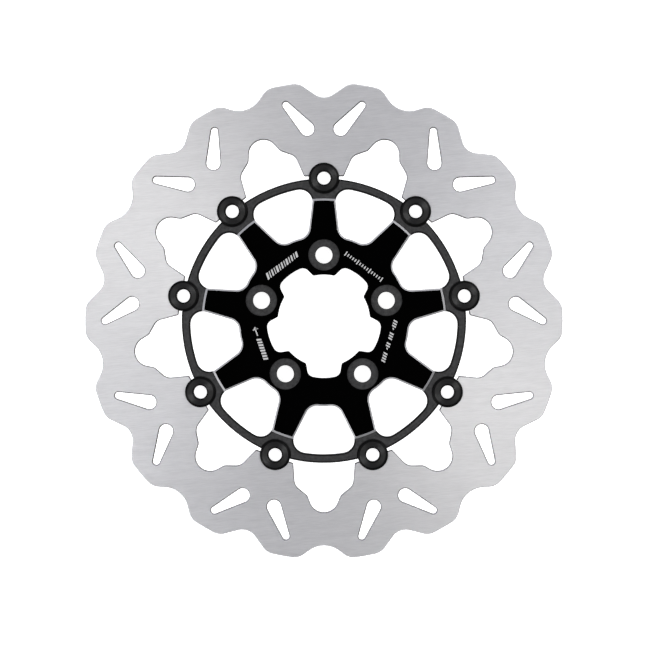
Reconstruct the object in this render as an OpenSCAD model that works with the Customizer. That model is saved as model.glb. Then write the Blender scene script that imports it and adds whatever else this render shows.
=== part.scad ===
// Floating motorcycle brake disc: a wave-edged ring that floats on nine turned bobbins in a
// nine-spoke carrier. Millimetres. The origin is the centre of the bolt circle on the hub's
// mounting face, and +Z points out of the wheel, so the carrier's black face looks along +Z.

/* [Layout] */
// Number of bobbins, spokes and carrier windows
bobbin_count = 9; // [8:1:9]
// Radius of the circle of bobbins
bobbin_circle_r = 89.65; // [89.3:0.05:90]
// Number of hub bolts
bolt_count = 5; // [4:1:5]
// Diameter of the hub bolt circle
bolt_circle_d = 82.55; // [81:0.05:84]

/* [Heights above the mounting face] */
// Rear face of the disc ring and of the carrier's rim
ring_back_z = 4; // [3.6:0.1:4.4]
// Front face of the disc ring, and seat of the bobbin flanges
ring_face_z = 9; // [8.6:0.1:9.4]
// Front face of the carrier's rim
rim_face_z = 10; // [9.8:0.1:10.2]
// Front face of the spokes and the hub
star_face_z = 11.3; // [10.9:0.1:12]

/* [Disc ring] */
// Outside diameter over the wave crests
disc_d = 300; // [298:1:304]
// Angle from a bobbin to the near shoulder of a crest
crest_start_a = 6.1; // [5.8:0.1:6.4]
// Angle from a bobbin to the far shoulder of a crest
crest_end_a = 13.95; // [13.6:0.05:14.2]
// Radius that rounds the shoulders of a crest
shoulder_round_r = 10; // [6:0.5:10]
// Distance from the centre to the point where a bobbin trough's sides would meet
bobbin_trough_r = 138.3; // [137:0.1:140]
// Radius that rounds a bobbin trough
bobbin_trough_round_r = 10; // [6:0.5:12]
// Distance from the centre to the point where a middle trough's sides would meet
middle_trough_r = 137.5; // [136.5:0.1:139]
// Radius that rounds a middle trough
middle_trough_round_r = 15.7; // [10:0.1:17]
// Width of the gap between two tabs, where it opens to the carrier
tab_gap_w = 38.66; // [37:0.1:40]

/* [Cooling slots] */
// Distance from the centre to the round outer end of a slot
slot_outer_r = 137.43; // [136.5:0.1:138]
// Radius of the outer end
slot_outer_end_r = 2.17; // [1.8:0.05:2.6]
// Angle from a bobbin to the outer end
slot_outer_a = 10; // [9.6:0.1:10.4]
// Distance from the centre to the round inner end of a slot
slot_inner_r = 121.03; // [119:0.1:123]
// Radius of the inner end
slot_inner_end_r = 4.41; // [3.5:0.05:4.8]
// Angle from a bobbin to the inner end
slot_inner_a = 5; // [4.8:0.1:5.4]

/* [Carrier] */
// Outside radius of the rim
rim_outer_r = 89.3; // [88.8:0.1:89.6]
// Inside radius of the rim, where the windows end
rim_inner_r = 83.95; // [83.75:0.05:84.8]
// Radius where the star's step down to the rim begins
star_r = 75.4; // [74.5:0.1:76]
// Radius of the hub side of the windows
window_inner_r = 53.6; // [52.5:0.1:55]
// Half the width of a spoke at its outer end
spoke_half_w = 7.3; // [6.8:0.1:7.6]
// Half the width of a spoke at its root
spoke_root_half_w = 9.3; // [8.8:0.1:9.8]
// Radius that rounds the corners of a window at the rim
window_rim_round_r = 7.8; // [6:0.1:8]
// Radius that rounds the corners of a window at the hub
window_hub_round_r = 7.6; // [6:0.1:8.5]
// Outside radius of the mounting pad on the rear face
pad_r = 52; // [50:0.5:53]
// Chamfer on the turned edges of the rim
rim_chamfer = 0.7; // [0.3:0.1:0.9]

/* [Hub] */
// Radius of the pilot arcs that centre the carrier on the wheel hub
pilot_r = 29; // [28.5:0.1:29.4]
// Radius of the scallops between the pilot arcs
scallop_r = 36; // [35:0.1:36.6]
// Radius of a bolt hole
bolt_hole_r = 5.35; // [4.5:0.05:5.6]
// Radius of a bolt's spot face
spot_face_r = 9.8; // [9:0.1:10]
// Depth of a spot face
spot_face_depth = 0.6; // [0.3:0.1:1]

/* [Bobbins] */
// Radius of a bobbin's drum
drum_r = 6.5; // [6.2:0.05:6.6]
// Radius of a bobbin's flange
flange_r = 9.6; // [9.4:0.05:9.7]
// Thickness of the flange
flange_t = 1.4; // [1.2:0.1:1.6]
// Radius of the hole through a bobbin
bobbin_hole_r = 4.15; // [3.5:0.05:4.5]
// Running clearance between a drum and its half-round seats
seat_clearance = 0.05; // [0.03:0.01:0.08]
// Clearance around a flange in its counterbore
counterbore_clearance = 0.25; // [0.2:0.05:0.3]

/* [Washers and circlips] */
// Height of a fitted wave washer
wave_washer_h = 0.8; // [0.7:0.05:0.9]
// Sheet thickness of a wave washer
wave_washer_t = 0.35; // [0.3:0.05:0.4]
// Outside radius of a wave washer
wave_washer_r = 9.2; // [8.8:0.1:9.4]
// Outside radius of a flat washer
flat_washer_r = 9.3; // [8.8:0.1:9.5]
// Thickness of a flat washer
flat_washer_t = 0.6; // [0.5:0.05:0.7]
// Thickness of a circlip
circlip_t = 0.8; // [0.6:0.1:0.9]

/* [Hidden] */
BOBBIN_NAMES = ["bobbin_", "wave_washer_", "flat_washer_", "circlip_"];

through = 1;                  // how far a cut runs past a face
arc_step = 8;                 // degrees that one flat of a rounded corner turns through
slot_steps = 8;               // flats round one end of a slot
crest_steps = 3;              // flats along a crest
window_hub_steps = 3;         // flats along a window's hub side
window_rim_steps = 6;         // flats along its rim side
scallop_steps = 2;            // flats along each half of a scallop
round_fn = 96;                // fineness of turned surfaces
lug_fn = 32;
lug_hole_fn = 24;

pitch_a = 360 / bobbin_count;
middle_a = pitch_a / 2;       // from a bobbin to the middle of the gap beside it
bolt_pitch_a = 360 / bolt_count;
crest_r = disc_d / 2;
step_w = star_face_z - rim_face_z;
pad_slope_w = 6;              // radial width of the slope from the pad to the spokes' rear
crest_inset_a = 1.9;          // from a crest's shoulder corner to the start of its arc

// The gap between two tabs, as [across, along the radius, rounding] from its middle line
tab_corner = [tab_gap_w / 2, 89.5, 0.8];
gap_shoulder = [18.24, 103.45, 6.96];
gap_waist = [10.4, 109.76, 4.94];
gap_peak = [0, 136.3, 9.18];

// A spoke's outer and root widths are measured at these radii, and it flares at the boss
neck_r = 75;
root_r = 58;
boss_r = 82;
boss_flare = 0.6;
window_hub_inset_a = 7;       // from a window's corner to the start of its hub side
window_rim_inset_a = 6.5;     // from a window's corner to the start of its rim side

// A pilot arc ends, and a scallop begins, at these angles from a bolt
pilot_end_a = 13.3;
scallop_start_a = 20;
pilot_end_round_r = 1.6;
scallop_round_r = 4.5;
scallop_overlap = 0.5;        // how far a scallop's cut starts inside the pilot bore
scallop_lap_a = 6;            // how far its inner end runs past the pilot arc's end
scallop_inset_a = 8;          // from its corner to the start of its arc
scallop_half_a = 6;           // from its middle to the nearest point of its arc

// Heights of the stack behind a bobbin, from the ring down
wave_z = ring_back_z - wave_washer_h;
washer_z = wave_z - flat_washer_t;
clip_z = washer_z - circlip_t;
groove_play = 0.05;
groove_depth = 0.6;
groove_r = drum_r - groove_depth;
drum_end_l = 0.8;             // length of drum behind the circlip
drum_end_z = clip_z - drum_end_l;
washer_play = 0.1;
washer_bore_r = drum_r + washer_play;
wave_play = 0.2;
wave_bore_r = drum_r + wave_play;
flange_z = ring_face_z + flange_t;

// Turned edges of a bobbin
flange_edge_w = 1.3;
flange_edge_h = 0.7;
dish_inset = 3;               // from the flange's edge to the bottom of its shallow dish
dish_depth = 0.15;
hole_edge_w = 0.9;
hole_edge_h = 0.6;
drum_edge = 0.4;

// Wave washer
washer_waves = 3;
washer_steps = 48;            // flats round a wave washer

// Circlip
clip_outer_r = 7.7;
clip_gap_a = 50;              // angle between the middles of the two lugs
lug_r = 1.35;
lug_circle_r = 7.75;
lug_hole_r = 0.6;

function bobbin_angle(k) = 90 + (k - 1) * pitch_a;
function bolt_angle(i) = 90 + (i - 1) * bolt_pitch_a;

// ---- outlines -------------------------------------------------------------

// A corner at radius r and angle a, rounded with radius round_r
function corner_at(r, a, round_r = 0) = [r * cos(a), r * sin(a), round_r];

// Points on an arc of radius r from angle a0 to angle a1, as sharp corners
function arc_at(r, a0, a1, steps) =
    [for (i = [0 : steps]) corner_at(r, a0 + (a1 - a0) * i / steps)];

// A corner given across and along a radius, placed with that radius at angle a
function turned(c, a) =
    [c.x * sin(a) + c.y * cos(a), c.y * sin(a) - c.x * cos(a), c.z];

// One half of an outline and its mirror image in the Y axis, as one run from -X to +X
function both_halves(half) =
    concat([for (i = [len(half) - 1 : -1 : 0]) [-half[i].x, half[i].y, half[i].z]], half);

// The points that round the corner b between a and c
function round_corner(a, b, c) =
    let (from_a = (a - b) / norm(a - b), to_c = (c - b) / norm(c - b),
         half = acos(from_a * to_c) / 2,
         centre = b + (from_a + to_c) / norm(from_a + to_c) * b.z / sin(half),
         start = b + from_a * b.z / tan(half) - centre,
         sweep = (180 - 2 * half) * sign(cross([start.x, start.y],
             [b.x - centre.x, b.y - centre.y])),
         steps = ceil(abs(sweep) / arc_step))
    [for (i = [0 : steps]) let (t = sweep * i / steps)
        [centre.x + start.x * cos(t) - start.y * sin(t),
         centre.y + start.x * sin(t) + start.y * cos(t)]];

// A closed outline of corners [x, y, rounding], with each corner rounded
function rounded(path) =
    let (n = len(path))
    [for (i = [0 : n - 1])
        let (b = path[i], a = [path[(i + n - 1) % n].x, path[(i + n - 1) % n].y, b.z],
             c = [path[(i + 1) % n].x, path[(i + 1) % n].y, b.z])
        each (b.z == 0 ? [[b.x, b.y]] : round_corner(a, b, c))];

// One crest of the ring's outer wave, between two angles
function crest(a0, a1) =
    concat([corner_at(crest_r, a0, shoulder_round_r)],
           arc_at(crest_r, a0 + crest_inset_a, a1 - crest_inset_a, crest_steps),
           [corner_at(crest_r, a1, shoulder_round_r)]);

// Outer edge of the disc ring: two crests and two troughs for each bobbin
function wave_edge() = rounded([for (k = [1 : bobbin_count]) let (a = bobbin_angle(k))
    each concat([corner_at(bobbin_trough_r, a, bobbin_trough_round_r)],
                crest(a + crest_start_a, a + crest_end_a),
                [corner_at(middle_trough_r, a + middle_a, middle_trough_round_r)],
                crest(a + pitch_a - crest_end_a, a + pitch_a - crest_start_a))]);

// Inner edge of the disc ring: a lobed gap between each two tabs
function tab_edge() =
    let (half = [gap_waist, gap_shoulder, tab_corner],
         gap = concat([for (i = [2 : -1 : 0]) half[i]], [gap_peak],
                      [for (c = half) [-c.x, c.y, c.z]]))
    rounded([for (k = [1 : bobbin_count]) for (c = gap)
        turned(c, bobbin_angle(k) + middle_a)]);

// A slot with round ends of two sizes, from centre p to centre q
function slot(p, p_r, q, q_r) =
    let (d = norm(q - p), along = atan2(q.y - p.y, q.x - p.x), lean = acos((p_r - q_r) / d))
    concat([for (i = [0 : slot_steps])
                let (t = along + lean + (360 - 2 * lean) * i / slot_steps)
                [p.x + p_r * cos(t), p.y + p_r * sin(t)]],
           [for (i = [0 : slot_steps]) let (t = along - lean + 2 * lean * i / slot_steps)
                [q.x + q_r * cos(t), q.y + q_r * sin(t)]]);

// A point of the right-hand spoke's edge, seen from a window's middle line
function spoke_edge(half_w, along, round_r = 0) =
    [along * sin(middle_a) - half_w * cos(middle_a),
     along * cos(middle_a) + half_w * sin(middle_a), round_r];

// Where the line from p through q next meets the circle of radius r
function on_circle(p, q, r) =
    let (u = (q - p) / norm(q - p), b = q * u, way = norm(q) > r ? -1 : 1)
    q + u * (way * sqrt(b * b - q * q + r * r) - b);

// A carrier window, symmetric about the Y axis
function window_outline() =
    let (neck = spoke_edge(spoke_half_w, neck_r), root = spoke_edge(spoke_root_half_w, root_r),
         boss = spoke_edge(spoke_half_w + boss_flare, boss_r),
         low = on_circle(neck, root, window_inner_r), high = on_circle(neck, boss, rim_inner_r),
         low_a = atan2(low.y, low.x), high_a = atan2(high.y, high.x))
    rounded(concat(
        arc_at(window_inner_r, 180 - low_a - window_hub_inset_a, low_a + window_hub_inset_a,
            window_hub_steps),
        [[low.x, low.y, window_hub_round_r], neck, [high.x, high.y, window_rim_round_r]],
        arc_at(rim_inner_r, high_a + window_rim_inset_a, 180 - high_a - window_rim_inset_a,
            window_rim_steps),
        [[-high.x, high.y, window_rim_round_r], [-neck.x, neck.y, 0],
         [-low.x, low.y, window_hub_round_r]]));

// A scallop of the hub opening, symmetric about the Y axis
function scallop_outline() =
    let (start_a = 90 - bolt_pitch_a / 2 + scallop_start_a,
         pilot_a = 90 - bolt_pitch_a / 2 + pilot_end_a,
         half = concat(arc_at(scallop_r, 90 - scallop_half_a, start_a + scallop_inset_a,
                              scallop_steps),
                       [corner_at(scallop_r, start_a, scallop_round_r),
                        corner_at(pilot_r, pilot_a, pilot_end_round_r),
                        corner_at(pilot_r - scallop_overlap, pilot_a - scallop_lap_a)]))
    rounded(both_halves(half));

// ---- sub-parts ------------------------------------------------------------

module at_bobbin(k)
    rotate([0, 0, bobbin_angle(k)]) translate([bobbin_circle_r, 0, 0]) children();

// The half-round seats that the drums turn in
module drum_seats()
    for (k = [1 : bobbin_count]) at_bobbin(k)
        translate([0, 0, ring_back_z - through])
            cylinder(r = drum_r + seat_clearance, h = star_face_z, $fn = round_fn);

module disc_slots()
    for (k = [1 : bobbin_count], side = [-1, 1])
        linear_extrude(height = star_face_z)
            polygon(slot(
                let (p = corner_at(slot_outer_r, bobbin_angle(k) + side * slot_outer_a))
                    [p.x, p.y], slot_outer_end_r,
                let (q = corner_at(slot_inner_r, bobbin_angle(k) + side * slot_inner_a))
                    [q.x, q.y], slot_inner_end_r));

// Stainless disc ring with its wave edge, slots and half-round drum seats
module disc() {
    color([0.78, 0.78, 0.79])
    difference() {
        translate([0, 0, ring_back_z])
            linear_extrude(height = ring_face_z - ring_back_z)
                difference() {
                    polygon(wave_edge());
                    polygon(tab_edge());
                }
        disc_slots();
        drum_seats();
    }
}

// The turned blank of the carrier: pad, spokes, step and rim
module carrier_blank()
    rotate_extrude($fn = round_fn * 2)
        polygon([[0, 0], [pad_r, 0], [pad_r + pad_slope_w, ring_back_z],
                 [rim_outer_r - rim_chamfer, ring_back_z],
                 [rim_outer_r, ring_back_z + rim_chamfer],
                 [rim_outer_r, rim_face_z - rim_chamfer],
                 [rim_outer_r - rim_chamfer, rim_face_z], [star_r + step_w, rim_face_z],
                 [star_r, star_face_z], [0, star_face_z]]);

module carrier_windows()
    for (k = [1 : bobbin_count])
        rotate([0, 0, bobbin_angle(k) + middle_a - 90])
            translate([0, 0, -through])
                linear_extrude(height = star_face_z + 2 * through)
                    polygon(window_outline());

module hub_opening() {
    translate([0, 0, -through])
        cylinder(r = pilot_r, h = star_face_z + 2 * through, $fn = round_fn);
    for (i = [1 : bolt_count])
        rotate([0, 0, bolt_angle(i) + bolt_pitch_a / 2 - 90])
            translate([0, 0, -through])
                linear_extrude(height = star_face_z + 2 * through)
                    polygon(scallop_outline());
}

module bolt_holes()
    for (i = [1 : bolt_count])
        rotate([0, 0, bolt_angle(i)]) translate([bolt_circle_d / 2, 0, 0]) {
            translate([0, 0, -through])
                cylinder(r = bolt_hole_r, h = star_face_z + 2 * through, $fn = round_fn);
            translate([0, 0, star_face_z - spot_face_depth])
                cylinder(r = spot_face_r, h = spot_face_depth + through, $fn = round_fn);
        }

// Counterbores that let the flanges down to the level of the ring's face
module flange_counterbores()
    for (k = [1 : bobbin_count]) at_bobbin(k)
        translate([0, 0, ring_face_z])
            cylinder(r = flange_r + counterbore_clearance, h = star_face_z, $fn = round_fn);

// Aluminium carrier: hub, nine spokes, rim and bobbin bosses in one piece
module carrier() {
    color([0.06, 0.06, 0.065])
    difference() {
        carrier_blank();
        carrier_windows();
        hub_opening();
        bolt_holes();
        flange_counterbores();
        drum_seats();
    }
}

// Turned bobbin: flange with a dished face, drum, circlip groove and through hole
module bobbin(k)
    color([0.16, 0.16, 0.16])
    at_bobbin(k) rotate_extrude($fn = round_fn)
        polygon([[bobbin_hole_r, drum_end_z], [drum_r - drum_edge, drum_end_z],
                 [drum_r, drum_end_z + drum_edge], [drum_r, clip_z], [groove_r, clip_z],
                 [groove_r, washer_z + groove_play], [drum_r, washer_z + groove_play],
                 [drum_r, ring_face_z], [flange_r, ring_face_z],
                 [flange_r, flange_z - flange_edge_h], [flange_r - flange_edge_w, flange_z],
                 [flange_r - dish_inset, flange_z - dish_depth],
                 [bobbin_hole_r + hole_edge_w, flange_z],
                 [bobbin_hole_r, flange_z - hole_edge_h]]);

// Spring washer with three waves, as a closed sheet
module wave_washer(k) {
    swing = (wave_washer_h - wave_washer_t) / 2;
    function lift(i, top) = wave_z + wave_washer_h / 2 + swing * cos(washer_waves * 360 * i
        / washer_steps) + (top ? wave_washer_t / 2 : -wave_washer_t / 2);
    function ring_points(r, top) = [for (i = [0 : washer_steps - 1])
        let (a = 360 * i / washer_steps) [r * cos(a), r * sin(a), lift(i, top)]];
    rings = [ring_points(wave_bore_r, false), ring_points(wave_washer_r, false),
             ring_points(wave_washer_r, true), ring_points(wave_bore_r, true)];
    function at(ring, i) = (ring % 4) * washer_steps + i % washer_steps;
    color([0.7, 0.7, 0.7])
    at_bobbin(k) polyhedron(
        points = [for (ring = rings) each ring],
        faces = [for (ring = [0 : 3], i = [0 : washer_steps - 1])
            each [[at(ring, i), at(ring, i + 1), at(ring + 1, i)],
                  [at(ring + 1, i), at(ring, i + 1), at(ring + 1, i + 1)]]]);
}

module flat_washer(k) {
    color([0.75, 0.75, 0.75])
    at_bobbin(k) translate([0, 0, washer_z])
        difference() {
            cylinder(r = flat_washer_r, h = flat_washer_t, $fn = round_fn);
            translate([0, 0, -through])
                cylinder(r = washer_bore_r, h = flat_washer_t + 2 * through, $fn = round_fn);
        }
}

// External circlip with two lugs, its gap facing the disc's centre
module circlip(k) {
    color([0.25, 0.25, 0.26])
    at_bobbin(k) translate([0, 0, clip_z])
        difference() {
            union() {
                rotate([0, 0, clip_gap_a / 2 - 180])
                    rotate_extrude(angle = 360 - clip_gap_a, $fn = round_fn)
                        translate([groove_r, 0])
                            square([clip_outer_r - groove_r, circlip_t]);
                for (side = [-1, 1])
                    rotate([0, 0, 180 + side * clip_gap_a / 2])
                        translate([lug_circle_r, 0, 0])
                            cylinder(r = lug_r, h = circlip_t, $fn = lug_fn);
            }
            for (side = [-1, 1])
                rotate([0, 0, 180 + side * clip_gap_a / 2])
                    translate([lug_circle_r, 0, -through])
                        cylinder(r = lug_hole_r, h = circlip_t + 2 * through, $fn = lug_hole_fn);
        }
}

disc();
carrier();
for (k = [1 : bobbin_count]) {
    bobbin(k);
    wave_washer(k);
    flat_washer(k);
    circlip(k);
}
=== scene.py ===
import math
import bpy
from mathutils import Matrix, Vector


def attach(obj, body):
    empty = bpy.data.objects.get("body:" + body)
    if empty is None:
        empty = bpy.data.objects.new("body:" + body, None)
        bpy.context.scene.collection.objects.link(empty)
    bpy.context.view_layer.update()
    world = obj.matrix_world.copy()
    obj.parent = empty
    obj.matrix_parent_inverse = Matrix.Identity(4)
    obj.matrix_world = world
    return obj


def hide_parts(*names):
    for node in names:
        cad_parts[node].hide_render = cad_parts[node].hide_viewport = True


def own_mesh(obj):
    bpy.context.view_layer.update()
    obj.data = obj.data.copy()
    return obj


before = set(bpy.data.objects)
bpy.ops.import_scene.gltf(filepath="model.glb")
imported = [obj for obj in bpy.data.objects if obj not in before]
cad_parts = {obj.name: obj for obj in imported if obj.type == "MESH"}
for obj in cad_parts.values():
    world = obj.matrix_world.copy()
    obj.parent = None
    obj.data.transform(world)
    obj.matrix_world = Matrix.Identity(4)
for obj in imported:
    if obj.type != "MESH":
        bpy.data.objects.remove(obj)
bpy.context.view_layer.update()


# ---- Disc ring ------------------------------------------------------------------------------
# The ring that the brake pads squeeze, laser-cut from 5 mm stainless sheet with a wave edge,
# eighteen tapered slots and a lobed gap between each two tabs, then ground flat on both sides.
# Its cut edges are broken, and a half-round seat in each tab holds a bobbin.

mm = 0.001
bobbins = 9
pitch = 360 / bobbins
first_bobbin = 90
bobbin_circle = 89.65
drum_seat = 6.55
ring_back, ring_face = 4.0, 9.0
broken_edge = 0.55
crest_radius, bobbin_trough, gap_trough = 149.98, 138.3, 137.5
crest_rounding, bobbin_trough_rounding, gap_trough_rounding = 10, 10, 15.7
gap_foot, gap_foot_rounding = 136.3, 9.18
slot_outer, slot_inner = 137.43, 121.03
outer_end, inner_end = 2.17, 4.41


def polar(r, degrees, rounding=0.0):
    """A corner at a radius and an angle, in mm, with the radius that rounds it."""
    turn = math.radians(degrees)
    return r * math.cos(turn), r * math.sin(turn), rounding


def arc(r, start, end, steps):
    """Points along an arc."""
    return [polar(r, start + (end - start) * i / steps) for i in range(steps + 1)]


def rounded(corners, step=4.0):
    """A closed outline through (x, y, rounding) corners, with a point every few degrees of turn."""
    outline = []
    before, after = corners[-1:] + corners[:-1], corners[1:] + corners[:1]
    for (ax, ay, _), (bx, by, r), (cx, cy, _) in zip(before, corners, after):
        b = Vector((bx, by))
        if not r:
            outline.append(b)
            continue
        to_a, to_c = (Vector((ax, ay)) - b).normalized(), (Vector((cx, cy)) - b).normalized()
        half = to_a.angle(to_c) / 2
        centre = b + (to_a + to_c).normalized() * (r / math.sin(half))
        arm = b + to_a * (r / math.tan(half)) - centre
        sweep = math.copysign(math.pi - 2 * half, arm.cross(b - centre))
        steps = max(2, math.ceil(math.degrees(abs(sweep)) / step))
        outline += [centre + Matrix.Rotation(sweep * i / steps, 2) @ arm for i in range(steps + 1)]
    return outline


def grown(outline, by):
    """A counter-clockwise outline moved outwards by a distance, or by a function of each point."""
    moved = []
    for a, b, c in zip(outline[-1:] + outline[:-1], outline, outline[1:] + outline[:1]):
        edge, along = (c - b).normalized(), (b - a).normalized() + (c - b).normalized()
        out = Vector((along.y, -along.x)).normalized()
        far = by(b) if callable(by) else by
        moved.append(b + out * (far / max(out.dot(Vector((edge.y, -edge.x))), 0.5)))
    return moved


def lofted(name, *solids):
    """A mesh of closed solids, each an outline in mm and its (height, growth) levels upwards."""
    points, faces = [], []
    for outline, levels in solids:
        start, count = len(points), len(outline)
        for z, growth in levels:
            points += [(p.x * mm, p.y * mm, z * mm) for p in grown(outline, growth)]
        faces.append([start + i for i in reversed(range(count))])
        for low in range(start, start + count * (len(levels) - 1), count):
            faces += [(low + i, low + (i + 1) % count, low + count + (i + 1) % count,
                       low + count + i) for i in range(count)]
        faces.append([len(points) - count + i for i in range(count)])
    mesh = bpy.data.meshes.new(name)
    mesh.from_pydata(points, [], faces)
    return mesh


def cutter(name, *solids):
    """A lofted mesh as an object that a tree cuts with. It never shows."""
    return bpy.data.objects.new(name, lofted(name, *solids))


class Signal:
    """A node's output. Sums, products and comparisons of signals and numbers add Math nodes."""

    def __init__(self, bench, socket):
        self.bench, self.socket = bench, socket

    def out(self, name):
        return Signal(self.bench, self.socket.node.outputs[name])

    def maths(self, operation, *values):
        return self.bench.node("ShaderNodeMath", {"operation": operation}, dict(enumerate(values)))

    def __add__(self, other):
        return self.maths("ADD", self, other)

    def __sub__(self, other):
        return self.maths("SUBTRACT", self, other)

    def __rsub__(self, other):
        return self.maths("SUBTRACT", other, self)

    def __mul__(self, other):
        return self.maths("MULTIPLY", self, other)

    def __gt__(self, other):
        return self.maths("GREATER_THAN", self, other)

    def __lt__(self, other):
        return self.maths("LESS_THAN", self, other)

    __radd__, __rmul__ = __add__, __mul__


class Bench:
    """A node tree in the making, for a shape or a finish."""

    def __init__(self, tree):
        self.tree = tree

    def node(self, kind, settings=None, values=None, output=0):
        """Adds a node: its settings first, then the values or links of its sockets."""
        made = self.tree.nodes.new(kind)
        for name, value in (settings or {}).items():
            if name == "stops":
                for stop in range(2, len(value)):
                    made.color_ramp.elements.new(1)
                for element, (at, grey) in zip(made.color_ramp.elements, value):
                    element.position, element.color = at, (grey, grey, grey, 1)
            else:
                setattr(made, name, value)
        for name, value in (values or {}).items():
            for one in value if isinstance(value, list) else [value]:
                if isinstance(one, Signal):
                    self.tree.links.new(one.socket, made.inputs[name])
                else:
                    made.inputs[name].default_value = one
        return Signal(self, made.outputs[output]) if len(made.outputs) else made

    def place(self, turn=0.0, scale=(1, 1, 1)):
        """Object coordinates, turned about Z and scaled."""
        at = self.node("ShaderNodeTexCoord", output="Object")
        spun = self.node("ShaderNodeVectorRotate", {"rotation_type": "Z_AXIS"},
                         {"Vector": at, "Angle": math.radians(turn)})
        return self.node("ShaderNodeVectorMath", {"operation": "MULTIPLY"}, {0: spun, 1: scale})

    def noise(self, at, detail=2.0, roughness=0.5):
        """Noise of about one cell per unit of a vector."""
        return self.node("ShaderNodeTexNoise", {},
                         {"Vector": at, "Scale": 1.0, "Detail": detail, "Roughness": roughness})

    def spread(self, value, low, high):
        """A value's range from low to high, stretched to the range from 0 to 1."""
        return self.node("ShaderNodeMapRange", {},
                         {"Value": value, "From Min": low, "From Max": high})

    def blend(self, share, one, other):
        """A colour from one to the other."""
        return self.node("ShaderNodeMix", {"data_type": "RGBA"},
                         {0: share, 6: (*one, 1), 7: (*other, 1)}, output=2)

    def vectors(self, operation, *values, output="Vector"):
        """Vector maths."""
        return self.node("ShaderNodeVectorMath", {"operation": operation}, dict(enumerate(values)),
                         output)

    def bump(self, height, depth):
        """A normal raised by a height from 0 to 1, times a depth in mm."""
        return self.node("ShaderNodeBump", {},
                         {"Height": height, "Distance": depth * mm, "Strength": 1.0})

    def grooved(self, normal, outward, lean, width):
        """A normal that leans in and out from groove to groove, for rings of a width in mm."""
        outward = self.vectors("MULTIPLY", outward, (1, 1, 0))
        radius = self.vectors("LENGTH", outward, output="Value")
        wave = self.node("ShaderNodeMath", {"operation": "SINE"},
                         {0: radius * (2 * math.pi / width / mm)})
        in_world = self.node("ShaderNodeVectorTransform", {
            "vector_type": "VECTOR", "convert_from": "OBJECT", "convert_to": "WORLD"},
            {0: self.vectors("NORMALIZE", outward)})
        tilt = self.node("ShaderNodeVectorMath", {"operation": "SCALE"},
                         {0: in_world, "Scale": wave * lean})
        return self.vectors("NORMALIZE", self.vectors("ADD", normal, tilt))


def finish(name, varied, **fixed):
    """A material: varied(bench) gives the sockets that change over the surface, by name."""
    material = bpy.data.materials.new(name)
    material.use_nodes = True
    shader = material.node_tree.nodes["Principled BSDF"]
    for socket, value in fixed.items():
        shader.inputs[socket.replace("_", " ")].default_value = value
    for socket, signal in varied(Bench(material.node_tree)).items():
        material.node_tree.links.new(signal.socket, shader.inputs[socket])
    return material


def ground(bench):
    """Short, nearly level finishing lines over the fine rings of the rotary grinder."""
    bands = bench.noise(bench.place(-4, (22, 330, 22)), 2)
    streaks = bench.noise(bench.place(-4, (150, 1500, 150)), 3, 0.6)
    lines = bench.noise(bench.place(-8, (80, 4200, 80)), 2, 0.7)
    height = 0.2 * bands + 0.5 * streaks + 0.3 * lines
    share = bench.spread(height, 0.3, 0.7)
    at = bench.node("ShaderNodeTexCoord", output="Object")
    return {"Base Color": bench.blend(share, (0.72, 0.72, 0.735), (0.86, 0.86, 0.875)),
            "Roughness": 0.36 + 0.1 * height,
            "Normal": bench.grooved(bench.bump(height, 0.006), at, 0.2, 0.12)}


def laser_cut(bench):
    """Steep melt lines through the sheet, dulled by heat."""
    lines = bench.noise(bench.place(0, (2600, 2600, 90)), 2, 0.6)
    stain = bench.noise(bench.place(0, (120, 120, 300)), 2)
    return {"Base Color": bench.blend(stain, (0.20, 0.185, 0.17), (0.36, 0.355, 0.35)),
            "Roughness": 0.35 + 0.3 * lines,
            "Normal": bench.bump(lines, 0.03)}


def shaded_broken_edge(bench):
    """The thin bevel left where a cut edge is broken. Its grey is kept far darker than the ground
    face as painted shade, for the dark lines along the cut edges.
    """
    lines = bench.noise(bench.place(20, (900, 900, 900)), 3, 0.6)
    # Painted shade: this darker grey on every bevel stands in for the shade lines along the cut
    # edges
    return {"Base Color": bench.blend(lines, (0.27, 0.27, 0.275), (0.50, 0.50, 0.51)),
            "Roughness": 0.2 + 0.12 * lines}


def shape_tree(name, **inputs):
    """A Geometry Nodes tree with named inputs, as its bench and a signal for each input."""
    tree = bpy.data.node_groups.new(name, "GeometryNodeTree")
    tree.interface.new_socket("Geometry", in_out="OUTPUT", socket_type="NodeSocketGeometry")
    for label, kind in {"Geometry": "Geometry", **inputs}.items():
        tree.interface.new_socket(label, in_out="INPUT", socket_type="NodeSocket" + kind)
    bench = Bench(tree)
    start = bench.node("NodeGroupInput")
    return bench, {label: start.out(label) for label in ["Geometry", *inputs]}


def in_circle(bench, cut, count):
    """Instances of a cutter, spaced evenly about the Z axis."""
    points = bench.node("GeometryNodeMeshLine", {}, {"Count": count, "Offset": (0, 0, 0)})
    turn = bench.node("GeometryNodeInputIndex") * (bench.node(
        "ShaderNodeMath", {"operation": "DIVIDE"}, {0: 2 * math.pi, 1: count}))
    spin = bench.node("ShaderNodeCombineXYZ", {}, {"Z": turn})
    shape = bench.node("GeometryNodeObjectInfo", {}, {"Object": cut}, output="Geometry")
    return bench.node("GeometryNodeInstanceOnPoints", {},
                      {"Points": points, "Instance": shape, "Rotation": spin})


def cut_away(bench, blank, *cuts):
    """A blank with every cutter taken out of it."""
    return bench.node("GeometryNodeMeshBoolean", {"operation": "DIFFERENCE", "solver": "MANIFOLD"},
                      {"Mesh 1": blank, "Mesh 2": list(cuts)})


def upward(bench):
    """How far a face looks up, from -1 to 1."""
    return bench.node("ShaderNodeSeparateXYZ", {}, {0: bench.node("GeometryNodeInputNormal")}, "Z")


def painted(bench, shape, material, where=True):
    """A shape with a material on the chosen faces."""
    return bench.node("GeometryNodeSetMaterial", {},
                      {"Geometry": shape, "Material": material, "Selection": where})


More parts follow.
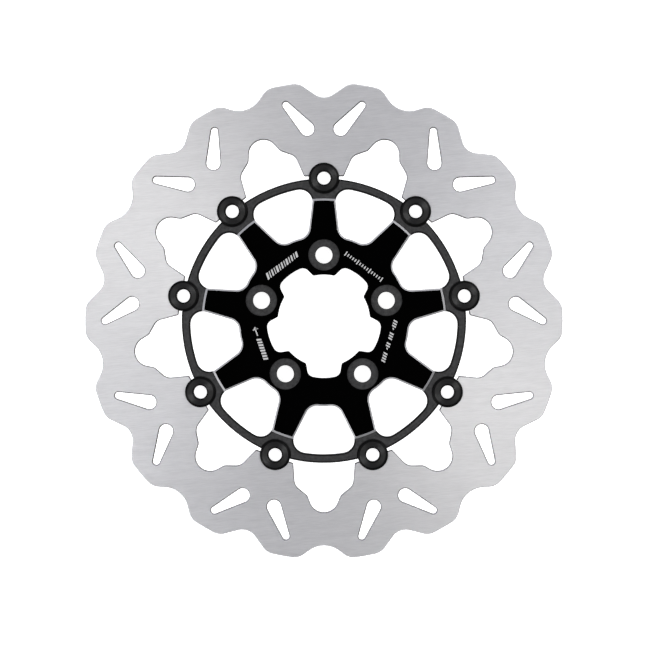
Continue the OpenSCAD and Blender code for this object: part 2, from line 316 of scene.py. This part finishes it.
def close_tree(bench, shape):
    """Ends a tree in real geometry."""
    real = bench.node("GeometryNodeRealizeInstances", {}, {"Geometry": shape})
    bench.node("NodeGroupOutput", {}, {"Geometry": real})


def made_by(bench, name, start, sizes):
    """The piece that a tree makes from a starting mesh, as a plain mesh at the origin."""
    piece = bpy.data.objects.new(name, start)
    bpy.context.scene.collection.objects.link(piece)
    modifier = piece.modifiers.new("shape", "NODES")
    modifier.node_group = bench.tree
    for socket in bench.tree.interface.items_tree:
        if socket.in_out == "INPUT" and socket.name in sizes:
            modifier[socket.identifier] = sizes[socket.name]
    seen = piece.evaluated_get(bpy.context.evaluated_depsgraph_get())
    mesh = bpy.data.meshes.new_from_object(seen)
    piece.modifiers.remove(modifier)
    piece.data = mesh
    mesh.name = name
    mesh.shade_smooth()
    mesh.set_sharp_from_angle(angle=math.radians(24))
    return piece


def crest(start, end):
    """One crest of the wave edge, between two angles."""
    return [polar(crest_radius, start, crest_rounding),
            *arc(crest_radius, start + 1.9, end - 1.9, 6),
            polar(crest_radius, end, crest_rounding)]


# A trough over each bobbin and a rounder one over each gap, with a crest after each
wave_corners = []
for at_bobbin in (first_bobbin + k * pitch for k in range(bobbins)):
    wave_corners += [polar(bobbin_trough, at_bobbin, bobbin_trough_rounding),
                     *crest(at_bobbin + 6.1, at_bobbin + 13.95),
                     polar(gap_trough, at_bobbin + pitch / 2, gap_trough_rounding),
                     *crest(at_bobbin + 26.05, at_bobbin + 33.9)]
wave_edge = rounded(wave_corners)

# Half of a gap's corners: across and out from the axis along its middle, and the rounding
gap_half = [(19.33, 89.5, 0.8), (18.24, 103.45, 6.96), (10.4, 109.76, 4.94)]
gap_edge = rounded([
    (across * math.sin(a) + out * math.cos(a), out * math.sin(a) - across * math.cos(a), r)
    for a in (math.radians(first_bobbin + pitch / 2 + k * pitch) for k in range(bobbins))
    for across, out, r in (*gap_half, (0, gap_foot, gap_foot_rounding),
                           *((-x, y, r) for x, y, r in reversed(gap_half)))])


def slot_edge(side):
    """A slot beside the bobbin at the top, its round ends of two sizes."""
    px, py, _ = polar(slot_outer, first_bobbin + side * 10)
    qx, qy, _ = polar(slot_inner, first_bobbin + side * 5)
    p, q = Vector((px, py)), Vector((qx, qy))
    along = math.atan2(qy - py, qx - px)
    lean = math.acos((outer_end - inner_end) / (q - p).length)
    sweep = 2 * math.pi - 2 * lean
    return [p + outer_end * Vector((math.cos(t), math.sin(t)))
            for t in (along + lean + sweep * i / 24 for i in range(25))] + [
            q + inner_end * Vector((math.cos(t), math.sin(t)))
            for t in (along - lean + 2 * lean * i / 32 for i in range(33))]


def circle(r, steps, x=0.0, y=0.0):
    """A round outline."""
    return [Vector((x + r * math.cos(t), y + r * math.sin(t)))
            for t in (2 * math.pi * i / steps for i in range(steps))]


past = 0.2  # how far a cutter stands past a face
through_ring = [(ring_back - past, broken_edge + past), (ring_back + broken_edge, 0),
                (ring_face - broken_edge, 0), (ring_face + past, broken_edge + past)]
ring_blank = lofted("ring_blank", (wave_edge, [
    (ring_back, -broken_edge), (ring_back + broken_edge, 0),
    (ring_face - broken_edge, 0), (ring_face, -broken_edge)]))

bench, size = shape_tree("cut_ring", Bobbins="Int", Gaps="Object", Slots="Object",
                         Ground="Material", Edge="Material", Wall="Material")
gaps = bench.node("GeometryNodeObjectInfo", {}, {"Object": size["Gaps"]}, output="Geometry")
ring = cut_away(bench, size["Geometry"], gaps, in_circle(bench, size["Slots"], size["Bobbins"]))
slope = bench.node("ShaderNodeMath", {"operation": "ABSOLUTE"}, {0: upward(bench)})
ring = painted(bench, ring, size["Ground"])
ring = painted(bench, ring, size["Edge"], slope < 0.95)
ring = painted(bench, ring, size["Wall"], slope < 0.4)
close_tree(bench, ring)

ring = made_by(bench, "ground_ring", ring_blank, {
    "Bobbins": bobbins,
    "Gaps": cutter("gaps", (gap_edge, through_ring)),
    "Slots": cutter("slots", (slot_edge(-1), through_ring), (slot_edge(1), through_ring), (
        circle(drum_seat, 96, 0, bobbin_circle), [(3, 0), (10, 0)])),
    "Ground": finish("ground_stainless", ground, Metallic=1.0),
    # The bevels' darker grey is painted shade along the cut edges
    "Edge": finish("stainless_bevel_painted_shade", shaded_broken_edge, Metallic=1.0),
    "Wall": finish("laser_cut_wall", laser_cut, Metallic=1.0)})
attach(ring, "disc")
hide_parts("disc")


# ---- Carrier --------------------------------------------------------------------------------
# The hub, nine spokes and rim in one piece of aluminium plate, anodised dark. The top of its
# star is gloss black, and its window edges and the step down to the rim are cut bright after
# that. Each boss on the rim has a half-round seat and a counterbore for a bobbin's flange.

bolts = 5
bolt_circle = 41.275
bolt_hole = 5.35
spot_face, spot_wider = 10.7, 4.45
rim_face, star_face = 10.0, 11.3
star_edge, step_foot = 75.4, 76.7
window_inner, window_outer = 53.6, 83.95
pilot, lobe = 29, 36
counterbore = 9
etch_depth = 0.06


def spoke_side(half_width, along):
    """A point on the right-hand spoke's side, seen from the middle of a window."""
    a = math.radians(pitch / 2)
    return Vector((along * math.sin(a) - half_width * math.cos(a),
                   along * math.cos(a) + half_width * math.sin(a)))


def meeting(p, q, r):
    """Where the line from p through q next meets a circle about the centre."""
    u = (q - p).normalized()
    b = q.dot(u)
    way = -1 if q.length > r else 1
    return q + u * (way * math.sqrt(b * b - q.length_squared + r * r) - b)


neck, root, boss = spoke_side(7.3, 75), spoke_side(9.3, 58), spoke_side(7.9, 82)
low, high = meeting(neck, root, window_inner), meeting(neck, boss, window_outer)
low_a, high_a = (math.degrees(math.atan2(p.y, p.x)) for p in (low, high))
low_round, high_round = 7.6, 7.8
window_edge = rounded([
    *arc(window_inner, 173 - low_a, low_a + 7, 6), (low.x, low.y, low_round),
    (neck.x, neck.y, 0), (high.x, high.y, high_round),
    *arc(window_outer, high_a + 6.5, 173.5 - high_a, 12), (-high.x, high.y, high_round),
    (-neck.x, neck.y, 0), (-low.x, low.y, low_round)])
hub_edge = rounded([corner for turn in (360 / bolts * k for k in range(bolts)) for corner in (
    polar(pilot, 76.7 + turn, 1.6), *arc(pilot, 79.7 + turn, 100.3 + turn, 8),
    polar(pilot, 103.3 + turn, 1.6), polar(lobe, 110 + turn, 4.5),
    *arc(lobe, 118 + turn, 134 + turn, 6), polar(lobe, 142 + turn, 4.5))])


def both(rim, star):
    """One growth for the rim's part of a window edge, and one for the star's."""
    return lambda p: rim if p.length > step_foot else star


def bars(angle, radius, shapes):
    """Shallow marks across a radius, as solids: (middle, half width, half height, lean) each."""
    out, across = Vector(polar(1, angle)[:2]), Vector(polar(1, angle - 90)[:2])
    solids = []
    for middle, half_width, half_height, lean in shapes:
        left, right = middle - half_width, middle + half_width
        corners = [(left - lean, -half_height), (right - lean, -half_height),
                   (right + lean, half_height), (left + lean, half_height)]
        outline = [out * (radius + y) + across * x for x, y in corners]
        solids.append((outline, [(star_face - etch_depth, 0), (star_face + 0.5, 0)]))
    return solids


# Plain etched marks: a slanted bar block, a graduated scale, groups of dashes, a turning arrow
bar_block = [(-11.3 + 1.88 * i, (0.7, 0.4, 0.55, 0.35)[i % 4], 2.05 - 0.03 * i, 0.6)
             for i in range(13)]
scale_marks = [(-13.8 + 1.84 * i, 0.38, 1.6 if i % 5 == 0 else 0.95, 0) for i in range(16)]
dashes = [(-13 + 1.63 * i, 0.5, 0.5 if i in (3, 11) else 1.3, 0.3)
          for i in range(17) if i not in (4, 8, 12)]
arrow = [(-10.4 + 1.8 * i, 0.6, 1.5, 0.35) for i in range(8)] + [(6.9, 2.1, 0.4, 0)] + [
    (9.0 + 0.45 * i, 0.225, 1.75 - 0.5 * i, 0) for i in range(4)]
marks = (bars(127, 43.5, bar_block) + bars(53.7, 42.1, scale_marks) + bars(342.7, 43, dashes)
         + bars(199.3, 42.4, arrow))

blank_profile = [(20, 0), (52, 0), (58, 4), (88.4, 4), (89.3, 4.9), (89.3, 9.0),
                 (88.3, rim_face), (step_foot, rim_face), (star_edge, star_face), (20, star_face)]


def profile(name, corners, reference):
    """A turned piece's section as a closed loop of edges, measured from a reference radius."""
    mesh = bpy.data.meshes.new(name)
    points = [((r - reference) * mm, -z * mm, 0) for r, z in reversed(corners)]
    mesh.from_pydata(points, [(i, (i + 1) % len(points)) for i in range(len(points))], [])
    return mesh


def turn_round(bench, section, radius, steps):
    """A section swept round the Z axis."""
    path = bench.node("GeometryNodeCurvePrimitiveCircle", {},
                      {"Resolution": steps, "Radius": radius})
    path = bench.node("GeometryNodeSetCurveNormal", {"mode": "Z_UP"}, {"Curve": path})
    loop = bench.node("GeometryNodeMeshToCurve", {}, {"Mesh": section})
    return bench.node("GeometryNodeCurveToMesh", {}, {"Curve": path, "Profile Curve": loop})


def gloss_black(bench):
    """Smooth black paint with a faint ripple."""
    ripple = bench.noise(bench.place(0, (420, 420, 420)), 2)
    dust = bench.noise(bench.place(0, (2600, 2600, 2600)), 2, 0.6)
    return {"Base Color": bench.blend(dust, (0.0001, 0.0001, 0.0001), (0.0006, 0.0006, 0.0006)),
            "Roughness": 0.1 + 0.1 * dust,
            "Normal": bench.bump(ripple, 0.003)}


def dark_anodised(bench):
    """Turned aluminium under dark anodising: fine rings about the axis, and a grain."""
    at = bench.vectors("MULTIPLY", bench.node("ShaderNodeTexCoord", output="Object"), (1, 1, 0))
    radius = bench.vectors("LENGTH", at, output="Value")
    rings = bench.node("ShaderNodeTexNoise", {"noise_dimensions": "1D"},
                       {"W": radius * 2400, "Scale": 1.0, "Detail": 2.0})
    grain = bench.noise(bench.place(0, (1500, 1500, 1500)), 3, 0.7)
    patches = bench.noise(bench.place(0, (520, 520, 520)), 2, 0.5)
    height = 0.25 * rings + 0.35 * grain + 0.4 * patches
    share = bench.spread(height, 0.32, 0.68)
    return {"Base Color": bench.blend(share, (0.006, 0.006, 0.006), (0.046, 0.046, 0.0465)),
            "Roughness": 0.5 + 0.2 * grain,
            "Normal": bench.bump(height, 0.006)}


def black_edge(bench):
    """The bevelled edges of the rim, blacker than its faces."""
    grain = bench.noise(bench.place(0, (1800, 1800, 1800)), 2, 0.6)
    return {"Base Color": bench.blend(grain, (0.001, 0.001, 0.001), (0.004, 0.004, 0.004)),
            "Roughness": 0.45 + 0.2 * grain}


def bright_cut(bench):
    """Bare aluminium with the fine feed lines of the cutter."""
    lines = bench.noise(bench.place(0, (700, 700, 6000)), 2, 0.6)
    return {"Base Color": bench.blend(lines, (0.32, 0.32, 0.324), (0.50, 0.50, 0.505)),
            "Roughness": 0.55 + 0.15 * lines,
            "Normal": bench.bump(lines, 0.006)}


def etched(bench):
    """The rough pale floor of a laser-etched mark."""
    grain = bench.noise(bench.place(0, (5200, 5200, 5200)), 2, 0.6)
    return {"Base Color": bench.blend(grain, (0.34, 0.34, 0.335), (0.62, 0.62, 0.61)),
            "Roughness": 0.65 + 0.2 * grain}


bench, size = shape_tree(
    "machined_carrier", Steps="Int", Reference="Float", Bobbins="Int", Bolts="Int",
    Windows="Object", Hub="Object", Seats="Object", Holes="Object", Marks="Object",
    Dark="Material", Black="Material", Bright="Material", Edge="Material", Etched="Material")
blank = turn_round(bench, size["Geometry"], size["Reference"], size["Steps"])
hub, etch = (bench.node("GeometryNodeObjectInfo", {}, {"Object": size[name]}, output="Geometry")
             for name in ("Hub", "Marks"))
carrier = cut_away(bench, blank, hub, etch,
                   in_circle(bench, size["Windows"], size["Bobbins"]),
                   in_circle(bench, size["Seats"], size["Bobbins"]),
                   in_circle(bench, size["Holes"], size["Bolts"]))
carrier = bench.node("GeometryNodeMergeByDistance", {},
                     {"Geometry": carrier, "Distance": 0.002 * mm})
up = upward(bench)
at = bench.node("GeometryNodeInputPosition")
height = bench.node("ShaderNodeSeparateXYZ", {}, {0: at}, "Z")
radius = bench.vectors("LENGTH", bench.vectors("MULTIPLY", at, (1, 1, 0)), output="Value")
bevel, level = (up > 0.4) * (up < 0.95), up > 0.95
hub_zone, rim_zone = radius < 50 * mm, radius > step_foot * mm
spoke_zone = (radius > 50 * mm) * (radius < step_foot * mm)
on_top = height > (star_face - 0.03) * mm
in_etch = (height > (star_face - 0.1) * mm) * (height < (star_face - 0.03) * mm)
carrier = painted(bench, carrier, size["Dark"])
carrier = painted(bench, carrier, size["Edge"], bevel * rim_zone)
carrier = painted(bench, carrier, size["Bright"], bevel * (height > 10.05 * mm) * spoke_zone)
carrier = painted(bench, carrier, size["Black"], level * on_top)
carrier = painted(bench, carrier, size["Black"], bevel * hub_zone)
carrier = painted(bench, carrier, size["Etched"], level * in_etch)
close_tree(bench, carrier)

half_pitch = Matrix.Rotation(math.radians(pitch / 2), 2)
turned_about = 60
carrier_section = profile("carrier_section", blank_profile, turned_about)
carrier = made_by(bench, "machined_carrier_star", carrier_section, {
    "Steps": 360, "Reference": turned_about * mm, "Bobbins": bobbins, "Bolts": bolts,
    "Windows": cutter("windows", ([half_pitch @ p for p in window_edge], [
        (-0.2, 0.7), (0.5, 0), (9.0, 0), (10.3, both(1.3, 0)), (11.3, both(2.3, 1.0)),
        (12.3, both(3.3, 2.0))])),
    "Hub": cutter("hub", (hub_edge, [(-0.2, 0.6), (0.4, 0), (11.0, 0), (11.5, 0.5)])),
    "Seats": cutter("seats", (circle(drum_seat, 96, 0, bobbin_circle), [
        (3, 0), (counterbore, 0), (counterbore, 3.3), (9.8, 3.3), (10.2, 3.7), (12.5, 3.7)])),
    "Holes": cutter("holes", (circle(bolt_hole, 80, 0, bolt_circle), [
        (-0.2, 0.6), (0.4, 0), (10.6, 0), (spot_face, 0.1), (spot_face, spot_wider),
        (12, spot_wider)])),
    "Marks": cutter("marks", *marks),
    "Dark": finish("dark_anodised", dark_anodised, Metallic=0.2, Specular_IOR_Level=0.3),
    "Edge": finish("black_anodised_edge", black_edge, Metallic=0.0, Specular_IOR_Level=0.1),
    "Black": finish("gloss_black", gloss_black, Metallic=0.0, Specular_IOR_Level=0.12),
    "Bright": finish("bright_cut_aluminium", bright_cut, Metallic=0.6),
    "Etched": finish("etched_mark", etched, Metallic=0.3)})
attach(carrier, "carrier")
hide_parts("carrier")


# ---- Bobbins --------------------------------------------------------------------------------
# Nine turned aluminium drums that key the ring to the carrier and let it float. Each has a
# flange with a shallow dish in front, a groove for its circlip behind, and a hole right through.
# They are hard-anodised, and the dish shows the rings that the lathe left.


def lathe_face(bench):
    """Rings about the bobbin's own axis, from the offset that its tree stored."""
    own = bench.node("ShaderNodeAttribute", {"attribute_name": "from_axis"}, output="Vector")
    radius = bench.vectors("LENGTH", bench.vectors("MULTIPLY", own, (1, 1, 0)), output="Value")
    rings = bench.node("ShaderNodeTexNoise", {"noise_dimensions": "1D"},
                       {"W": radius * 3000, "Scale": 1.0, "Detail": 2.0})
    grain = bench.noise(bench.place(0, (1500, 1500, 1500)), 3, 0.7)
    height = 0.6 * rings + 0.4 * grain
    return {"Base Color": bench.blend(height, (0.008, 0.008, 0.008), (0.036, 0.036, 0.0356)),
            "Roughness": 0.28 + 0.14 * grain,
            "Normal": bench.grooved(bench.bump(grain, 0.004), own, 0.45, 0.14)}


def hard_anodised(bench):
    """Black hard anodising with a soft gloss."""
    grain = bench.noise(bench.place(0, (2000, 2000, 2000)), 3, 0.6)
    return {"Base Color": bench.blend(grain, (0.001, 0.001, 0.001), (0.005, 0.005, 0.005)),
            "Roughness": 0.36 + 0.16 * grain,
            "Normal": bench.bump(grain, 0.004)}


def put_round(bench, shape, out, turn, up=0.0):
    """A shape moved out from the axis and up, then turned about the axis to its place."""
    shift = bench.node("ShaderNodeCombineXYZ", {}, {"X": out, "Z": up})
    shape = bench.node("GeometryNodeTransform", {}, {"Geometry": shape, "Translation": shift})
    spin = bench.node("ShaderNodeCombineXYZ", {}, {"Z": turn})
    return bench.node("GeometryNodeTransform", {}, {"Geometry": shape, "Rotation": spin})


turned, size = shape_tree(
    "turned_part", Steps="Int", Reference="Float", Waves="Int", Swing="Float", Out="Float",
    Turn="Float", Face_height="Float", Body="Material", Face="Material")
part = turn_round(turned, size["Geometry"], size["Reference"], size["Steps"])
spot = turned.node("ShaderNodeSeparateXYZ", {}, {0: turned.node("GeometryNodeInputPosition")})
round_a = turned.node("ShaderNodeMath", {"operation": "ARCTAN2"},
                      {0: spot.out("Y"), 1: spot.out("X")})
wave = turned.node("ShaderNodeMath", {"operation": "COSINE"}, {0: round_a * size["Waves"]})
lift = turned.node("ShaderNodeCombineXYZ", {}, {"Z": wave * size["Swing"]})
part = turned.node("GeometryNodeSetPosition", {}, {"Geometry": part, "Offset": lift})
part = painted(turned, part, size["Body"])
part = painted(turned, part, size["Face"],
               (upward(turned) > 0.97) * (spot.out("Z") > size["Face_height"]))
part = put_round(turned, part, size["Out"], size["Turn"])
centre = turned.node("ShaderNodeVectorRotate", {"rotation_type": "Z_AXIS"}, {
    "Vector": turned.node("ShaderNodeCombineXYZ", {}, {"X": size["Out"]}),
    "Angle": size["Turn"]})
from_axis = turned.vectors("SUBTRACT", turned.node("GeometryNodeInputPosition"), centre)
part = turned.node("GeometryNodeStoreNamedAttribute",
                   {"data_type": "FLOAT_VECTOR", "domain": "POINT"},
                   {"Geometry": part, "Name": "from_axis", "Value": from_axis})
close_tree(turned, part)


def turned_piece(name, corners, reference, k, body, **more):
    """A piece turned from a section, on the axis of bobbin k."""
    return made_by(turned, f"{name}_{k + 1}", profile("turned_section", corners, reference), {
        "Steps": 96, "Reference": reference * mm, "Waves": 0, "Swing": 0.0,
        "Out": bobbin_circle * mm, "Turn": math.radians(first_bobbin + k * pitch),
        "Face_height": rim_face * mm, "Body": body, "Face": body, **more})


# From the hole's back edge: out over the groove and the drum, then over the flange and the dish
bobbin_profile = [
    (4.15, 1.3), (4.45, 1.0), (6.1, 1.0), (6.5, 1.4), (6.5, 1.8), (5.9, 1.8), (5.9, 2.65),
    (6.5, 2.65), (6.5, 9.02), (9.45, 9.02), (9.6, 9.17), (9.6, 9.45), (9.5, 9.6), (8.15, 10.36),
    (7.95, 10.4), (6.6, 10.25), (5.25, 10.38), (5.05, 10.36), (4.3, 9.86), (4.15, 9.7)]
anodised = finish("hard_anodised", hard_anodised, Metallic=0.0, Specular_IOR_Level=0.04)
face = finish("lathe_turned_face", lathe_face, Metallic=0.8, Specular_IOR_Level=0.4)
for k in range(bobbins):
    bobbin = turned_piece("turned_bobbin", bobbin_profile, 5, k, anodised, Face=face)
    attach(bobbin, f"bobbin_{k + 1}")
    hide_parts(f"bobbin_{k + 1}")


# ---- Wave washers ---------------------------------------------------------------------------
# A thin spring washer with three waves behind each bobbin. It pushes the ring forwards against
# the bobbin's flange and takes up the float, so it flattens as the ring is pressed back.


def spring_steel(bench):
    """Blued strip with rolling lines."""
    lines = bench.noise(bench.place(35, (220, 2600, 800)), 2, 0.6)
    return {"Base Color": bench.blend(lines, (0.34, 0.345, 0.36), (0.56, 0.56, 0.57)),
            "Roughness": 0.26 + 0.16 * lines,
            "Normal": bench.bump(lines, 0.004)}


wave_profile = [(6.75, 3.39), (6.81, 3.33), (9.14, 3.33), (9.2, 3.39), (9.2, 3.61), (9.14, 3.67),
                (6.81, 3.67), (6.75, 3.61)]
spring = finish("spring_steel", spring_steel, Metallic=1.0)
for k in range(bobbins):
    washer = turned_piece("spring_washer", wave_profile, 8, k, spring, Waves=3, Swing=0.12 * mm)
    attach(washer, f"bobbin_{k + 1}")
    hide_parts(f"wave_washer_{k + 1}")
    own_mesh(washer)


# ---- Flat washers ---------------------------------------------------------------------------
# A punched and zinc-plated washer that spreads the spring's push on the circlip. The punch
# leaves one side's edges rounded.


def zinc(bench):
    """Soft zinc plate with a faint spangle."""
    spangle = bench.noise(bench.place(0, (900, 900, 900)), 3, 0.7)
    return {"Base Color": bench.blend(spangle, (0.50, 0.51, 0.53), (0.68, 0.69, 0.71)),
            "Roughness": 0.3 + 0.2 * spangle,
            "Normal": bench.bump(spangle, 0.004)}


flat_profile = [(6.6, 2.62), (9.12, 2.62), (9.3, 2.78), (9.3, 3.18), (6.62, 3.18), (6.6, 3.16)]
plated = finish("zinc_plate", zinc, Metallic=1.0)
for k in range(bobbins):
    washer = turned_piece("plated_washer", flat_profile, 8, k, plated)
    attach(washer, f"bobbin_{k + 1}")
    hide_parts(f"flat_washer_{k + 1}")


# ---- Circlips -------------------------------------------------------------------------------
# A stamped, phosphated circlip in each bobbin's groove. Its gap faces the middle of the disc,
# with a lug and a plier hole on each side.


def phosphate(bench):
    """Dark phosphate with a crystalline grain."""
    grain = bench.noise(bench.place(0, (2400, 2400, 2400)), 3, 0.7)
    return {"Base Color": bench.blend(grain, (0.035, 0.034, 0.033), (0.085, 0.083, 0.08)),
            "Roughness": 0.45 + 0.25 * grain,
            "Normal": bench.bump(grain, 0.008)}


clip, size = shape_tree("stamped_clip", Middle="Float", Half_gap="Float", Lug_circle="Float",
                        Lug="Float", Hole="Float", Thick="Float", Height="Float", Out="Float",
                        Turn="Float", Finish="Material")
band = clip.node("GeometryNodeCurveArc", {"mode": "RADIUS"}, {
    "Resolution": 72, "Radius": size["Middle"], "Start Angle": size["Half_gap"] - math.pi,
    "Sweep Angle": 2 * math.pi - 2 * size["Half_gap"]})
band = clip.node("GeometryNodeSetCurveNormal", {"mode": "Z_UP"}, {"Curve": band})
section = clip.node("GeometryNodeMeshToCurve", {}, {"Mesh": size["Geometry"]})
band = clip.node("GeometryNodeCurveToMesh", {}, {"Curve": band, "Profile Curve": section,
                                                 "Fill Caps": True})


def at_lugs(radius, depth, steps):
    """A round bar at each lug."""
    bar = clip.node("GeometryNodeMeshCylinder", {},
                    {"Vertices": steps, "Radius": radius, "Depth": depth})
    return [put_round(clip, bar, size["Lug_circle"], math.pi + side * size["Half_gap"])
            for side in (-1, 1)]


shape = clip.node("GeometryNodeMeshBoolean", {"operation": "UNION", "solver": "MANIFOLD"},
                  {"Mesh 2": [band, *at_lugs(size["Lug"], size["Thick"], 40)]})
shape = cut_away(clip, shape, *at_lugs(size["Hole"], 2 * size["Thick"], 28))
shape = painted(clip, shape, size["Finish"])
close_tree(clip, put_round(clip, shape, size["Out"], size["Turn"], size["Height"]))

clip_middle = 6.8
clip_profile = [(5.95, -0.38), (7.58, -0.38), (7.68, -0.28), (7.68, 0.28), (7.58, 0.38),
                (5.95, 0.38)]
dark_clip = finish("phosphate", phosphate, Metallic=0.7)
for k in range(bobbins):
    clip_section = profile("clip_section", clip_profile, clip_middle)
    circlip = made_by(clip, f"stamped_circlip_{k + 1}", clip_section, {
        "Middle": clip_middle * mm, "Half_gap": math.radians(25), "Lug_circle": 7.75 * mm,
        "Lug": 1.35 * mm, "Hole": 0.6 * mm, "Thick": 0.76 * mm, "Height": 2.2 * mm,
        "Out": bobbin_circle * mm, "Turn": math.radians(first_bobbin + k * pitch),
        "Finish": dark_clip})
    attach(circlip, f"bobbin_{k + 1}")
    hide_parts(f"circlip_{k + 1}")


# ---- Floor, light and camera ----------------------------------------------------------------
# A wide white floor just under the disc, a sky that is bright low down, four soft boxes, and a
# camera above the middle. The sky is dark overhead, so that the gloss black star reflects nothing.

floor_radius = 20000
floor = bpy.data.objects.new("floor", lofted(
    "floor", (circle(floor_radius, 96), [(-2.0, 0), (-1.0, 0)])))
bpy.context.scene.collection.objects.link(floor)


def paper(bench):
    """White paper."""
    grain = bench.noise(bench.place(0, (400, 400, 400)), 2)
    return {"Base Color": bench.blend(grain, (0.80, 0.80, 0.80), (0.84, 0.84, 0.84))}


floor.data.materials.append(finish(
    "white_paper", paper, Roughness=0.9, Emission_Color=(1, 1, 1, 1), Emission_Strength=0.93))

world = bpy.data.worlds.new("studio")
world.use_nodes = True
bpy.context.scene.world = world
sky = Bench(world.node_tree)
way = sky.node("ShaderNodeSeparateXYZ", {},
               {0: sky.node("ShaderNodeTexCoord", output="Generated")})
# From straight down at 0 through the horizon at 0.5 to straight up at 1
sky_stops = [(0.0, 0.9), (0.5, 0.95), (0.53, 0.93), (0.58, 0.66), (0.70, 0.66), (0.80, 0.88),
             (0.90, 0.72), (0.94, 0.32), (0.97, 0.0)]
glow = sky.node("ShaderNodeValToRGB", {"stops": sky_stops}, {"Fac": way.out("Z") * 0.5 + 0.5})
lit_side = 0.7 + 0.62 * (0.7 * way.out("Y") - 0.7 * way.out("X"))
backdrop = world.node_tree.nodes["Background"]
backdrop.inputs["Color"].default_value = (0.87, 0.88, 1, 1)
world.node_tree.links.new((glow * lit_side).socket, backdrop.inputs["Strength"])

lamp_distance = 1.5
warm, white = (1, 0.985, 0.94), (1, 1, 1)
for name, off_axis, bearing, width, power, tint in (
        ("left_box", 30, 152, 0.7, 3.4, warm), ("right_box", 30, 332, 0.7, 3.4, warm),
        ("low_left_box", 58, 212, 0.6, 15, white), ("high_right_box", 58, 32, 0.6, 15, white)):
    lamp = bpy.data.objects.new(name, bpy.data.lights.new(name, "AREA"))
    bpy.context.scene.collection.objects.link(lamp)
    lamp.data.size, lamp.data.energy, lamp.data.color = width, power, tint
    tilt, turn = math.radians(off_axis), math.radians(bearing)
    lamp.location = Vector((math.sin(tilt) * math.cos(turn), math.sin(tilt) * math.sin(turn),
                            math.cos(tilt))) * lamp_distance
    lamp.rotation_euler = (-lamp.location).to_track_quat("-Z", "Y").to_euler()

camera = bpy.data.objects.new("camera", bpy.data.cameras.new("camera"))
bpy.context.scene.collection.objects.link(camera)
camera.location = (0.66 * mm, -2.7 * mm, 2.01)
camera.data.lens, camera.data.sensor_width = 176.5, 36
bpy.context.scene.camera = camera
bpy.context.scene.view_settings.view_transform = "Standard"
